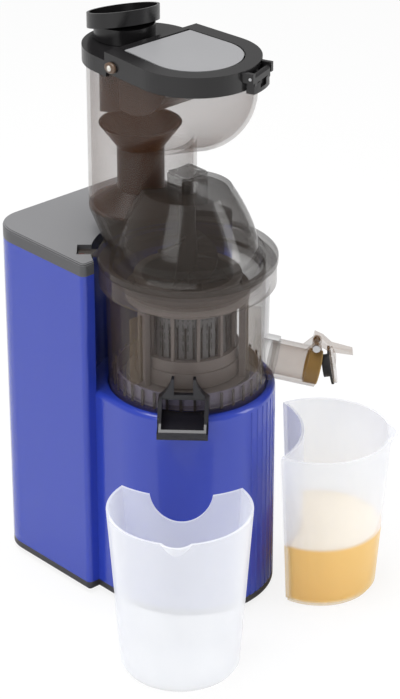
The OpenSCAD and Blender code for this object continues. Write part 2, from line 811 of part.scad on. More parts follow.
module strainer_frame() place() color(dark) difference() {
    union() {
        tube(foot_z, foot_z + foot_t, foot_ring_r, sun_r + 3.2);
        tube(foot_z + foot_t - e, foot_z + 12, foot_ring_r, sheet_r + fit);
        tube(foot_z + 12 - e, foot_z + 21, sheet_r + 4, sheet_r + fit);
        tube(sieve_top - 18, sieve_top, sheet_r + 4, sheet_r + fit);
        tube(sieve_top - 3, sieve_top, wiper_in - 1, sheet_r + fit);
        for (a = [0:30:330]) rotate(a) box(sheet_r + 0.3, sheet_r + 3, -1.2, 1.2, foot_z + 20, sieve_top - 17);
    }
    disc(foot_z + foot_t, sieve_top + 1, sheet_r + fit);
}

module strainer_sheet() place() color(steel) difference() {
    tube(foot_z + foot_t, sieve_top - 1, sheet_r, sieve_r);
    for (i = [0:slot_n - 1]) rotate((i + 0.5) * 360 / slot_n)
        box(sieve_r - 2, sheet_r + 2, -0.8, 0.8, foot_z + 22, foot_z + 47);
}

module wiper_bars(grow) for (a = [60:120:300]) rotate(a) children();

module wiper_frame() place() color(dark) {
    difference() {
        disc(tooth_z, tooth_top, wiper_r);
        layer(tooth_z - 1, tooth_top + 1) rotate(tooth_at(90, ring_teeth))
            teeth(ring_teeth, wiper_module, 1.1 * wiper_module, 0.7 * wiper_module, 1.25);
    }
    tube(wiper_top - 6, wiper_top, wiper_r, wiper_in);
    difference() {
        wiper_bars() box(wiper_in, wiper_r - 0.3, -4, 4, tooth_top - e, wiper_top - 6 + e);
        wiper_bars() box(wiper_in + 2, wiper_r + 1, -blade_t / 2 - fit, blade_t / 2 + fit, tooth_top + 4, wiper_top - 10);
    }
}

module wiper_blades() place() color("tan") wiper_bars() {
    box(wiper_in + 2 + fit, blade_r, -blade_t / 2, blade_t / 2, tooth_top + 4.2, wiper_top - 10.2);
}

module wiper_pinion(y) translate([0, y, 0]) difference() {
    gear(pinion_teeth, wiper_module, tooth_z, tooth_top, tooth_at(90, pinion_teeth), 0.8);
    disc(tooth_z - 1, tooth_top + 1, post_r + fit);
}

module pinion_front() place() color("ivory") wiper_pinion(-pinion_c);

module pinion_rear() place() color("ivory") wiper_pinion(pinion_c);

auger_z = hub_top + run;
core_r = 10.4;
core_top = shaft_top + 4;
flight_z = foot_z + foot_t + 4;
flight_r = sieve_r - flight_gap;
flight_steps = 26;
nose_r = 6;
flight_top = tube_z - 7;
nose_top = dome_top - 12.6;

// Radius of the flight: level in the strainer, drawn in towards the nose above it
function flight_out(z) = z < sieve_top - 8 ? flight_r
    : flight_r - (flight_r - nose_r - 4) * pow((z - sieve_top + 8) / (flight_top - sieve_top + 8), 1.3);

// One screw-shaped flight as a closed strip of four-sided rings
module flight(turns, start) {
    n = round(turns * flight_steps);
    span = flight_top - 2 - flight_z;
    pts = [for (i = [0:n])
        let (a = start + 360 * turns * i / n, z = flight_z + span * i / n, ro = flight_out(z))
        for (p = [[nose_r - 2, -2.6], [ro, -1.1], [ro, 1.1], [nose_r - 2, 2.6]])
            [p[0] * cos(a), p[0] * sin(a), z + p[1]]];
    sides = [for (i = [0:n - 1], k = [0:3])
        each [[4 * i + k, 4 * i + (k + 1) % 4, 4 * i + 4 + k],
            [4 * i + (k + 1) % 4, 4 * i + 4 + (k + 1) % 4, 4 * i + 4 + k]]];
    caps = [[2, 1, 0], [3, 2, 0], [4 * n, 4 * n + 1, 4 * n + 2], [4 * n, 4 * n + 2, 4 * n + 3]];
    polyhedron(points = pts, faces = concat(sides, caps), convexity = 8);
}

module auger() place() color([0.25, 0.24, 0.24]) difference() {
    union() {
        rotate_extrude() polygon([[0, auger_z], [hub_r + 3, auger_z], [hub_r + 3, tooth_top + 1],
            [sun_r + 1.6, tooth_top + 1], [sun_r + 1.6, foot_z + foot_t + run], [sieve_r - 6, foot_z + foot_t + run],
            [sieve_r - 8, flight_z + 6], [hub_r + 7, hub_top + 14], [nose_r + 3, sieve_top],
            [nose_r, flight_top], [nose_r, nose_top - 4], [pin_r, nose_top], [pin_r, dome_top + 3],
            [0, dome_top + 3]]);
        gear(auger_teeth, wiper_module, tooth_z, tooth_top + 0.8);
        disc(tooth_top + 0.8 - e, tooth_top + 1 + e, sun_r - 2);
        flight(flight_turns, 40);
        flight(flight_turns, 220);
    }
    disc(tooth_z - 1, auger_z, hub_r + 0.3);
    disc(auger_z - 1, core_top, core_r + fit);
}

flight_turns = (flight_top - 2 - flight_z) / flight_pitch / 2;

module auger_core() place() color(steel) difference() {
    disc(auger_z + e, core_top, core_r);
    translate([0, 0, auger_z - 1]) cylinder(h = shaft_top - auger_z + 2, r = hex_r + 0.25, $fn = 6);
}

// ---------- lid ----------

// Profile of the dome from a share of its height up to its flat top, drawn in by one amount
function dome_curve(inset, share) = [for (i = [0:8]) let (t = share * (1 - i / 8))
    [dome_top_r - inset + (dome_r - dome_top_r) * (1 - pow(1 - t, 1.6)),
        dome_top - inset - (dome_top - dome_z) * t]];

ledge_t = 1.8;
seal_low = flange_z - 8;
seal_h = 3;
boss_r = pin_r + 3;

module lid_outer() rotate_extrude() polygon(concat([
    [0, flange_z - skirt_h], [skirt_r - 0.8, flange_z - skirt_h], [skirt_r, flange_z - skirt_h + 0.8],
    [skirt_r, seal_low], [skirt_r - 1.6, seal_low], [skirt_r - 1.6, seal_low + seal_h], [skirt_r, seal_low + seal_h],
    [skirt_r, flange_z], [flange_r - 0.7, flange_z], [flange_r, flange_z + 0.7], [flange_r, dome_z - 1.2],
    [flange_r - 1.2, dome_z], [dome_r + 4, dome_z], [dome_r + 4, dome_z + ledge_t]],
    dome_curve(0, 1 - ledge_t / (dome_top - dome_z)), [[0, dome_top]]));

module lid_inner() rotate_extrude() polygon(concat([
    [0, flange_z - skirt_h - 1], [skirt_r - 3, flange_z - skirt_h - 1], [skirt_r - 3, flange_z + 1]],
    dome_curve(lid_wall, 1), [[boss_r, dome_top - lid_wall], [boss_r, dome_top - 12], [pin_r + 0.3, dome_top - 12],
    [pin_r + 0.3, dome_top + 5], [0, dome_top + 5]]));

module collar_solid(inset) hull() {
    translate([0, tube_y, tube_z - 2]) cylinder(h = 4, r = tube_r - inset, $fn = 48);
    translate([0, 16, flange_z + 1.3 - inset]) cylinder(h = 4, r = 46.4 - inset, $fn = 48);
}

module lid() place() color(smoke) difference() {
    union() {
        difference() {
            union() {
                lid_outer();
                layer(dome_top - 1, boss_top - 1.5) rounded_square(boss_w, 4);
                layer(boss_top - 2, boss_top) rounded_square(boss_w - 2, 3);
                collar_solid(0);
            }
            translate([0, tube_y, 0]) disc(tube_z, boss_top + 1, tube_r + run);
        }
        rotate(pocket_dir) box(flange_r - 3, button_c + button_r, -6, 6, cover_z + 6 + run, dome_z - 0.5);
    }
    lid_inner();
    collar_solid(lid_wall);
}

module lid_seal() place() color(rubber) difference() {
    disc(seal_low + 0.1, seal_low + seal_h - 0.1, skirt_r + 0.15);
    disc(seal_low - 1, seal_low + seal_h + 1, skirt_r - 1.5);
}

// ---------- hopper ----------

module tube_solid(inset) {
    translate([0, tube_y, 0]) disc(tube_z - inset * 1.2, hopper_top, tube_r - inset);
    hull() {
        translate([0, tube_y, 352 + inset]) cylinder(h = hopper_top - 352, r = tube_r - inset, $fn = 56);
        translate([0, -hopper_y, hopper_z]) sphere(r = hopper_r - inset, $fn = 56);
        translate([0, -hopper_y, hopper_z]) cylinder(h = hopper_top - hopper_z + inset, r = hopper_r - inset, $fn = 56);
    }
}

module feed_hopper() place() color(clear) difference() {
    tube_solid(0);
    tube_solid(tube_wall);
    box(-60, 60, step_y - 0.5, 120, rear_top, hopper_top + 5);
    box(-60, 60, -80, 120, hopper_top, hopper_top + 60);
}

module inner_chute() place() color(dark) translate([0, tube_y + 2, 0]) difference() {
    union() {
        disc(tube_z + run, chute_top - 12, chute_r);
        cone(chute_top - 18, chute_top, chute_r, chute_r + 13);
        cone(tube_z + run, tube_z + 12, tube_r - tube_wall - 2 - run, chute_r);
    }
    disc(tube_z - 1, chute_top - 10, chute_r - 2);
    cone(chute_top - 18, chute_top + e, chute_r - 2.2, chute_r + 11);
    cone(tube_z + run - e, tube_z + 10, tube_r - tube_wall - 4.4 - run, chute_r - 2);
}

module flap_opening(inset, y1) intersection() {
    hopper_plan(-inset);
    translate([-60, -80]) square([120, 80 + y1]);
}

module hopper_frame() place() color(black) difference() {
    union() {
        intersection() {
            layer(skirt_low, frame_top) hopper_plan(frame_grow);
            box(-60, 60, -80, step_y + 0.6, 0, 500);
        }
        intersection() {
            layer(rear_skirt_low, deck_top) hopper_plan(frame_grow);
            box(-60, 60, step_y - 1, 120, 0, 500);
        }
        at_latch() for (s = [-1, 1]) box(latch_in - 4.5, latch_axis_r + 2.6, s * (latch_w / 2 + 2) - 1.6,
            s * (latch_w / 2 + 2) + 1.6, latch_axis_z - 3, frame_top - 1);
    }
    difference() {
        layer(rear_skirt_low - 1, hopper_top) hopper_plan(fit);
        box(-60, 60, step_y - 0.5 + fit, 120, rear_top, 500);
        for (s = [-1, 1]) box(min(s * lug_in, s * lug_out), max(s * lug_in, s * lug_out), hinge_y - 4, hinge_y + 4,
            hinge_z - 5, hopper_top);
    }
    layer(hopper_top - 1, frame_top + 1) flap_opening(open_in, hinge_y + 3.5);
    translate([0, pusher_y, 0]) disc(rear_top - 1, deck_top + 1, pusher_r + 0.7);
    translate([0, hinge_y, hinge_z]) rotate([0, 90, 0]) cylinder(h = 2 * lug_out, r = flap_pin_r + fit, center = true);
    at_latch() translate([latch_axis_r, 0, latch_axis_z]) rotate([90, 0, 0])
        cylinder(h = latch_w + 20, r = latch_pin_r + fit, center = true);
    at_latch() box(latch_in - 1.2, latch_in + 10, -latch_w / 2 - 0.4, latch_w / 2 + 0.4, latch_z - 1, latch_axis_z - 4);
}

module at_latch() translate([0, -hopper_y, 0]) rotate(-90 + latch_dir) children();

module hopper_flap() place() color(dark) difference() {
    union() {
        layer(frame_top - flap_t, frame_top) flap_opening(open_in + flap_gap, hinge_y + 1.2);
        translate([0, hinge_y, hinge_z]) along_x(-barrel_x, barrel_x, barrel_r);
    }
    translate([0, hinge_y, hinge_z]) along_x(-60, 60, flap_pin_r + fit);
}

// Side wall of the gate, in the plane of the hinge: back from the hinge, down and forward
module gate_side() intersection() {
    translate([hinge_y, hinge_z]) circle(gate_r);
    polygon([[hinge_y + 2, frame_top - flap_t], [hinge_y + 9, hinge_z - 14],
        [hinge_y + 9, hinge_z - 60], [hinge_y - 28, hinge_z - 60], [hinge_y - 50, hinge_z - 15],
        [hinge_y - 50, frame_top - flap_t]]);
}

module gate_ramp() polygon([[hinge_y - gate_r, hinge_z - 18], [hinge_y - 20, hinge_z - 37],
    [hinge_y + 9, hinge_z - gate_r + 3.2], [hinge_y + 9, hinge_z - gate_r],
    [hinge_y - 20, hinge_z - 40], [hinge_y - gate_r, hinge_z - 21]]);

module feed_gate() place() color([0.22, 0.22, 0.22]) difference() {
    union() {
        for (x = [-gate_x - gate_t, gate_x]) translate([x, 0, 0]) rotate([90, 0, 90]) linear_extrude(gate_t) gate_side();
        translate([-gate_x - e, 0, 0]) rotate([90, 0, 90]) linear_extrude(2 * gate_x + 2 * e) intersection() {
            gate_ramp();
            gate_side();
        }
    }
    translate([0, hinge_y, hinge_z]) along_x(-60, 60, barrel_r + fit);
}

module flap_pin() place() color("white") translate([0, hinge_y, hinge_z]) along_x(0.2 - lug_out, lug_out - 0.2, flap_pin_r);

module latch() place() color(black) at_latch() difference() {
    union() {
        intersection() {
            tube(latch_z, latch_axis_z - 4.3, latch_out, latch_in);
            box(0, 80, -latch_w / 2, latch_w / 2, 0, 500);
        }
        box(latch_axis_r - 2.2, latch_axis_r + 2.2, -latch_w / 2 + 0.2, latch_w / 2 - 0.2, latch_axis_z - 6, latch_axis_z);
        translate([latch_axis_r, 0, latch_axis_z]) rotate([90, 0, 0])
            cylinder(h = latch_w - 0.4, r = 2.2, center = true);
    }
    box(latch_out - 2, latch_out + 2, -4.5, 4.5, latch_z + 3, latch_z + 8);
    translate([latch_axis_r, 0, latch_axis_z]) rotate([90, 0, 0])
        cylinder(h = latch_w + 2, r = latch_pin_r + fit, center = true);
}

module latch_pin() place() color(steel) at_latch() translate([latch_axis_r, 0, latch_axis_z]) rotate([90, 0, 0])
    cylinder(h = latch_w + 7, r = latch_pin_r, center = true);

// The cap is cut by two slanting planes; the slant rises to the front
cap_low = deck_top + 9.6;
cap_h = 11;
slant = [3.5, 14.1];
cap_back = 2.5;
collar_back = 1.2;

module slant_slab(z, h) translate([0, 0, z]) rotate([-slant[1], slant[0], 0]) translate([-60, -60, 0]) cube([120, 120, h]);

module pusher() place() color(black) translate([0, pusher_y, 0]) difference() {
    union() {
        disc(pusher_low, cap_low + 2, pusher_r);
        translate([0, collar_back, 0]) disc(deck_top + run, cap_low + 2, pusher_r + 2.7);
        translate([0, cap_back, 0]) intersection() {
            disc(cap_low - 20, cap_low + 40, cap_r);
            slant_slab(cap_low, cap_h);
        }
    }
    translate([0, cap_back, 0]) intersection() {
        disc(cap_low - 10, cap_low + 60, cap_r - 2);
        slant_slab(cap_low + 2.5, 60);
    }
    slant_slab(pusher_low - 60, 60);
    disc(pusher_low - 1, cap_low - 12, pusher_r - 2.2);
}

// ---------- cups ----------

hollow_c = sqrt(pow(cup_hollow_r, 2) - (pow(cup_rim_r, 2) - pow(cup_back, 2)));

module cup_body(inset, z0, z1) {
    grow = (cup_rim_r - cup_foot_r) / cup_h;
    difference() {
        union() {
            translate([cup_back, 0, 0]) cone(z0, z1, cup_foot_r + grow * z0 - inset, cup_foot_r + grow * z1 - inset);
            translate([cup_back + cup_rim_r - 9, 0, 0]) cone(z1 - 20, z1, 2, 9 + lip_out - inset);
        }
        translate([-hollow_c, 0, 0]) disc(-1, cup_h + 9, cup_hollow_r + inset);
    }
}

module cup() difference() {
    cup_body(0, 0, cup_h);
    translate([0, 0, e]) cup_body(cup_wall, 3, cup_h);
    translate([cup_back, 0, 0]) tube(-1, 4, cup_foot_r + 9, cup_foot_r - 2.5);
}

module cup_foot() difference() {
    translate([cup_back, 0, 0]) cone(0, 4.1, cup_foot_r - 2.6, cup_foot_r - 2.4);
    translate([-hollow_c, 0, 0]) disc(-1, 6, cup_hollow_r);
}

module pulp_container() place() color(frost) at_pulp() translate([container_out, 0, 0]) difference() {
    union() {
        cup();
        cup_foot();
    }
    translate([cup_back, 0, 0]) translate([-cup_back - 5, 0, cup_h + 2.4]) rotate([0, 90, 0]) cylinder(h = 32, r = scoop_r);
}

module juice_jug() place() color(frost) rotate(juice_dir) translate([jug_out, 0, 0]) union() {
    cup();
    cup_foot();
}

housing();
top_cover();
base();
rubber_feet();
case_screws();
rocker_bezel();
power_rocker();
cord_inlet();
interlock_switch();
interlock_button();
control_board();
capacitor();
motor_can();
motor_rotor();
cooling_fan();
motor_frame();
gearbox_case();
gearbox_cover();
idler_gear();
idler_pin();
output_shaft();
shaft_seal();
bowl();
bowl_plug();
pulp_outlet();
juice_spout();
spout_lining();
spout_lever();
lever_seal();
lever_screw();
strainer_frame();
strainer_sheet();
wiper_frame();
wiper_blades();
pinion_front();
pinion_rear();
auger();
auger_core();
lid();
lid_seal();
feed_hopper();
inner_chute();
hopper_frame();
hopper_flap();
feed_gate();
flap_pin();
latch();
latch_pin();
pusher();
pulp_container();
juice_jug();
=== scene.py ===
# %% [markdown]
# A cold press juicer, dressed over its CAD frame.
# The frame brings every solid of the machine, each with its true size and place. This lesson gives each solid the
# finish of the real plastic, steel or rubber, adds the juice and the small repeated details, and sets up a pale
# studio with a camera at the height of a person who stands at the worktop.

# %% Load the frame and keep its box
import math
import bmesh
import bpy
from mathutils import Matrix, Vector


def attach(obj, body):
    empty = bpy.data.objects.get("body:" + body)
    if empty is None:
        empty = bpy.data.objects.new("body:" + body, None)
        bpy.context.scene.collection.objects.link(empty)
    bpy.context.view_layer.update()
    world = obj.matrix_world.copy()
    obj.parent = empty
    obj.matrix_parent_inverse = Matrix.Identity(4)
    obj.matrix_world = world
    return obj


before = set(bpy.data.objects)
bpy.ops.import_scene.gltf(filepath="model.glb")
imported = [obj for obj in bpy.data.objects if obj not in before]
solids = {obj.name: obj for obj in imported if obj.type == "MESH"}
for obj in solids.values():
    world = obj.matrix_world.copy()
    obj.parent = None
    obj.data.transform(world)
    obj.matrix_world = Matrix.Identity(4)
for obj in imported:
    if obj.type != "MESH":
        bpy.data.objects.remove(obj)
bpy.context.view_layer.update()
print("solids in the frame:", len(solids))

# %% [markdown]
# Everything is measured from the auger's axis, which stands a little off the middle of the footprint.
# Lengths below are in millimetres, as on a drawing, and one function turns them into metres. Two sizes are shared
# by a finish and a shape, so they stand here: the height of the juice in the jug, and the thick rim of the bowl.

# %% Places that the pieces share
MM = 0.001
AXIS = Vector((7.0, -2.0, 0.0))
JUICE_LEVEL = 52.0
RIM_FROM, RIM_TO = 251, 255


def at(x, y, z=0.0):
    """A point in millimetres from the auger's axis, as metres in the frame."""
    return (Vector((x, y, z)) + AXIS) * MM


def lin(r, g, b):
    """A colour picked on a screen, 0 to 255, as the linear values that a shader wants."""
    return tuple(((c / 255 + 0.055) / 1.055) ** 2.4 if c > 10 else c / 255 / 12.92 for c in (r, g, b))


def tone(colour, share=1.0):
    """A colour as a colour socket wants it, with its alpha; a share under or over 1 darkens or lightens it."""
    return (*(c * share for c in colour), 1.0)


print("auger axis at", tuple(round(v, 4) for v in at(0, 0)))

# %% [markdown]
# Shader nodes are quick to write when a socket can be used in a sum. The class below wraps one output socket, so
# that `1 - mask * 0.3` adds its own Math nodes. Each operator has its reflected form, for a number on its left.

# %% Sockets that can be added and multiplied
class Wire:
    """An output socket of a shader node, usable in a Python expression on values."""

    def __init__(self, finish, socket):
        self.finish, self.socket = finish, socket

    def maths(self, operation, *values):
        return self.finish.node("ShaderNodeMath", {"operation": operation}, dict(enumerate(values)))

    def __add__(self, other):
        return self.maths("ADD", self, other)

    def __radd__(self, other):
        return self.maths("ADD", other, self)

    def __sub__(self, other):
        return self.maths("SUBTRACT", self, other)

    def __rsub__(self, other):
        return self.maths("SUBTRACT", other, self)

    def __mul__(self, other):
        return self.maths("MULTIPLY", self, other)

    def __rmul__(self, other):
        return self.maths("MULTIPLY", other, self)

    def power(self, other):
        return self.maths("POWER", self, other)


# %% [markdown]
# A second class holds the nodes of one material, or of the world. It makes any node in the same way: first the
# node's settings, then what goes into its sockets. The patterns that several finishes share are methods of it.

# %% A finish and its nodes
class Finish:
    """The nodes of a material or of the world, with the output that they end in."""

    def __init__(self, owner, end="ShaderNodeOutputMaterial"):
        owner.use_nodes = True
        self.owner, self.tree = owner, owner.node_tree
        self.tree.nodes.clear()
        self.end = self.tree.nodes.new(end)

    def node(self, kind, settings=None, inputs=None, out=0):
        """Any node: its settings, then the values or wires of its sockets; gives one of its outputs."""
        node = self.tree.nodes.new(kind)
        for key, value in (settings or {}).items():
            setattr(node, key, value)
        for key, value in (inputs or {}).items():
            if isinstance(value, Wire):
                self.tree.links.new(value.socket, node.inputs[key])
            else:
                node.inputs[key].default_value = value
        return Wire(self, node.outputs[out])

    def speckle(self, scale, detail=3.0, stretch=(1, 1, 1)):
        """Noise from 0 to 1; scale is the number of grains in a metre, stretch a number along each axis."""
        here = self.node("ShaderNodeTexCoord", out="Object")
        place = self.node("ShaderNodeMapping", {}, {"Vector": here, "Scale": stretch})
        return self.node("ShaderNodeTexNoise", {}, {"Vector": place, "Scale": scale, "Detail": detail}, out="Fac")

    def height(self):
        """How high a point of the piece lies, in metres."""
        here = self.node("ShaderNodeTexCoord", out="Object")
        return self.node("ShaderNodeSeparateXYZ", {}, {0: here}, out="Z")

    def facing_up(self):
        """1 on a level face, 0 on an upright wall."""
        normal = self.node("ShaderNodeNewGeometry", out="Normal")
        return self.node("ShaderNodeSeparateXYZ", {}, {0: normal}, out="Z")

    def edge_on(self, blend):
        """Grows where the eye looks along the surface."""
        return self.node("ShaderNodeLayerWeight", {}, {"Blend": blend}, out="Facing")

    def ramp(self, value, low, high, smooth=False):
        """0 at the low value, 1 at the high one."""
        kind = {"interpolation_type": "SMOOTHSTEP"} if smooth else {}
        return self.node("ShaderNodeMapRange", kind, {"Value": value, "From Min": low, "From Max": high})

    def bump(self, height, strength, distance):
        return self.node("ShaderNodeBump", {}, {"Height": height, "Strength": strength, "Distance": distance})

    def blend(self, factor, first, second):
        """A colour between two others."""
        return self.node("ShaderNodeMix", {"data_type": "RGBA"}, {"Factor": factor, 6: first, 7: second}, out=2)

    def close(self, shader):
        """Ends the tree with a shader, and gives the material or the world."""
        self.tree.links.new(shader.socket, self.end.inputs["Surface"])
        return self.owner

    def surface(self, **sockets):
        """Ends the material with one Principled shader."""
        named = {key.replace("_", " "): value for key, value in sockets.items()}
        return self.close(self.node("ShaderNodeBsdfPrincipled", {}, named))


def new_finish(name):
    return Finish(bpy.data.materials.new(name))


print("shader helpers ready")

# %% [markdown]
# **Blue gloss housing.** The housing is moulded in a mass-coloured plastic with a polished tool, so its colour is
# even and its gloss is high. What gives it away as plastic is a faint waviness in the reflections and a little
# unevenness of gloss where hands have wiped it, so those two go into the bump and the roughness.

# %% Housing plastic
def housing_blue():
    f = new_finish("housing_blue")
    wave = f.speckle(34, detail=1.5)
    wipe = f.speckle(11, detail=4, stretch=(1, 1, 0.4))
    colour = f.blend(wipe, tone(lin(44, 65, 176)), tone(lin(50, 71, 182)))
    return f.surface(Base_Color=colour, Roughness=0.13 + wipe * 0.1, Specular_IOR_Level=0.5,
                     Coat_Weight=0.15, Coat_Roughness=0.06, Normal=f.bump(wave, 0.05, 0.002))


# %% [markdown]
# **Moulded plastics.** The dark cover, the base, the pusher and the hopper's frame come from tools with a fine
# spark texture. One function makes them all: a colour, a gloss, and a grain whose height follows a fine noise.
# A broad noise shifts the colour by a hair, as a textured surface always does. The cover's upright sides get
# painted shade: a darker colour of their own, blended in by how steeply a face stands, darker than its lit top.

# %% Textured plastics
def moulded(name, dark, light, gloss, grain=0.12, side=None):
    f = new_finish(name)
    fine = f.speckle(2600, detail=2)
    broad = f.speckle(14, detail=3)
    colour = f.blend(broad, tone(dark), tone(light))
    # Painted shade: a face that stands upright takes the darker side colour.
    if side is not None:
        colour = f.blend(f.ramp(f.facing_up(), 0.3, 0.8), tone(side), colour)
    return f.surface(Base_Color=colour, Roughness=gloss - 0.05 + broad * 0.1, Specular_IOR_Level=0.5,
                     Normal=f.bump(fine, grain, 0.0002))


# %% [markdown]
# **Tinted clear plastics.** The bowl, the lid and the hopper are clear plastic with a smoke tint. A see-through
# wall is drawn with alpha: the more layers the eye looks through, the darker it gets, which is what a dyed plastic
# does too. At a shallow angle the eye looks along the wall, so the alpha grows there; Layer Weight gives that.
# The bowl's rim is far thicker than its wall, so above that height the alpha is raised as well.

# %% Clear and smoky plastics
def see_through(name, colour, alpha, edge, gloss=0.08, rim=0.0):
    f = new_finish(name)
    facing = f.edge_on(0.35)
    swirl = f.speckle(18, detail=2)
    body = f.blend(swirl, tone(colour), tone(colour, 1.12))
    wall = alpha + facing.power(1.6) * (edge - alpha)
    if rim:
        wall = wall + f.ramp(f.height(), RIM_FROM * MM, RIM_TO * MM, smooth=True) * rim * (1 - wall)
    return f.surface(Base_Color=body, Roughness=gloss + swirl * 0.04, Alpha=wall, Specular_IOR_Level=0.6,
                     Coat_Weight=0.3, Coat_Roughness=0.03, Normal=f.bump(swirl, 0.04, 0.002))


# %% [markdown]
# ** Frosted cups.** The two cups are milky: they scatter light, yet the juice and the drum behind still show
# through as soft patches of colour. A middling alpha does that, with a pale colour and a faint painted glow, a
# painted light in place of the light that a real milky wall passes on. Below the juice's level the jug's wall takes
# its colour.

# %% Frosted plastic
def frosted(name, level=None):
    f = new_finish(name)
    mottle = f.speckle(60, detail=4)
    facing = f.edge_on(0.4)
    colour = f.blend(mottle, tone(lin(246, 248, 252)), tone(lin(252, 253, 255)))
    wall = 0.34 + facing.power(1.4) * 0.4
    if level is not None:
        under = f.ramp(f.height(), (level + 1.5) * MM, (level - 2) * MM, smooth=True)
        colour = f.blend(under * 0.85, colour, tone(lin(246, 212, 122)))
    # The emission is a painted glow: painted light that stands in for light passed through the milky wall.
    return f.surface(Base_Color=colour, Roughness=0.34 + mottle * 0.08, Alpha=wall,
                     Emission_Color=colour, Emission_Strength=0.07,
                     Specular_IOR_Level=0.4, Normal=f.bump(f.speckle(1800), 0.1, 0.0002))


# %% [markdown]
# **Silicone, rubber and steel.** The spout's lining is amber silicone, and the feet and seals are dark rubber: both
# are dull, with a fine dust in their colour. The strainer and the shafts are steel with a drawn grain, made by
# stretching a noise along one axis.

# %% Soft and metal finishes
def silicone(name, colour, gloss=0.42):
    f = new_finish(name)
    dust = f.speckle(420, detail=4)
    return f.surface(Base_Color=f.blend(dust, tone(colour, 0.9), tone(colour)),
                     Roughness=gloss + dust * 0.12, Specular_IOR_Level=0.4, Normal=f.bump(dust, 0.15, 0.0002))


def steel(name, stretch, gloss=0.28, shine=1.0):
    f = new_finish(name)
    grain = f.speckle(900, detail=3, stretch=stretch)
    colour = f.blend(grain, tone((0.42, 0.42, 0.43), shine), tone((0.62, 0.62, 0.63), shine))
    return f.surface(Base_Color=colour, Metallic=1.0, Roughness=gloss + grain * 0.14,
                     Normal=f.bump(grain, 0.12, 0.0001))


# %% [markdown]
# ** Juice.** Orange juice is opaque enough to be a plain colour. It gets a little paler towards its surface, and the
# level top has a pale froth, which the height and the direction of the face pick out. It also has a painted glow, a
# little painted light of its own that lifts it out of the shade inside the jug.

# %% Orange juice
def orange_juice():
    f = new_finish("orange_juice")
    rise = f.ramp(f.height(), 0.01, 0.056)
    pulp = f.speckle(700, detail=4)
    deep = f.blend(rise, tone(lin(236, 184, 66)), tone(lin(246, 204, 96)))
    body = f.blend(pulp * 0.35, deep, tone(lin(250, 214, 130)))
    froth = f.ramp(f.facing_up(), 0.5, 0.9)
    # Painted light: the juice glows a little with its own colour, against the shade inside the jug.
    return f.surface(Base_Color=f.blend(froth, body, tone(lin(250, 232, 196))), Roughness=0.3,
                     Emission_Color=body, Emission_Strength=0.2,
                     Specular_IOR_Level=0.5, Normal=f.bump(pulp, 0.1, 0.0004))


print("finishes described")

# %% [markdown]
# Now each finish is made once, in the order of the machine: the plastics that stand for its body, the clear ones,
# then silicone, rubber and steel.

# %% The finishes of this machine
BLUE = housing_blue()
# The cover's side colour is painted shade on its upright faces.
COVER = moulded("cover_grey", lin(122, 122, 124), lin(130, 130, 132), 0.38, side=lin(82, 82, 84))
STRIP = moulded("base_grey", lin(46, 44, 46), lin(54, 52, 54), 0.42)
BLACK = moulded("gloss_black", lin(24, 23, 24), lin(32, 31, 32), 0.24, grain=0.04)
INKY = moulded("outlet_black", lin(20, 19, 25), lin(28, 27, 34), 0.2, grain=0.04)
FLAP = moulded("flap_grey", lin(140, 140, 142), lin(148, 148, 150), 0.38)
# The gate's near-black colour is dark grey plastic with painted shade on top, the shade inside the hopper.
SHADED_GATE = moulded("gate_grey_painted_shade", lin(16, 15, 15), lin(21, 20, 20), 0.36, grain=0.01)
LINER = moulded("strainer_grey", lin(116, 107, 103), lin(130, 121, 116), 0.42)
AUGER = moulded("auger_brown", lin(24, 22, 21), lin(34, 31, 29), 0.3)
NATURAL = moulded("gear_white", lin(214, 212, 204), lin(226, 224, 216), 0.45)
RED = moulded("switch_red", lin(170, 34, 30), lin(184, 42, 36), 0.26, grain=0.04)
GREEN = moulded("board_green", lin(24, 84, 52), lin(32, 98, 62), 0.4)
SMOKE = see_through("bowl_smoke", lin(96, 84, 77), 0.12, 0.6, rim=0.22)
DOME = see_through("lid_smoke", lin(62, 54, 48), 0.34, 0.84)
HOPPER = see_through("hopper_clear", lin(96, 60, 34), 0.15, 0.5)
# The chute's near-black colour is grey plastic with painted shade on top, the shade of its inner face.
SHADED_CHUTE = moulded("chute_painted_shade", lin(17, 16, 17), lin(22, 21, 22), 0.36, grain=0.01)
SPOUT = see_through("spout_clear", lin(124, 84, 26), 0.22, 0.6)
CUP, JUG = frosted("frosted_cup"), frosted("frosted_jug", JUICE_LEVEL)
AMBER = silicone("amber_silicone", lin(178, 146, 84))
BLADE = see_through("wiper_silicone", lin(150, 122, 66), 0.18, 0.4, gloss=0.3)
RUBBER = silicone("dark_rubber", lin(34, 33, 33), 0.55)
STEEL = steel("drawn_steel", (1, 1, 14))
SHEET = steel("strainer_steel", (1, 1, 6), 0.4, 0.3)
CAST = steel("cast_housing", (1, 1, 1), 0.4)
JUICE = orange_juice()

# %% [markdown]
# Each finish is laid on the solids that are moulded from it. The list reads like a parts list: the finish on the
# left, the pieces of the machine on the right. What it leaves out is printed, so nothing stays plain by mistake.

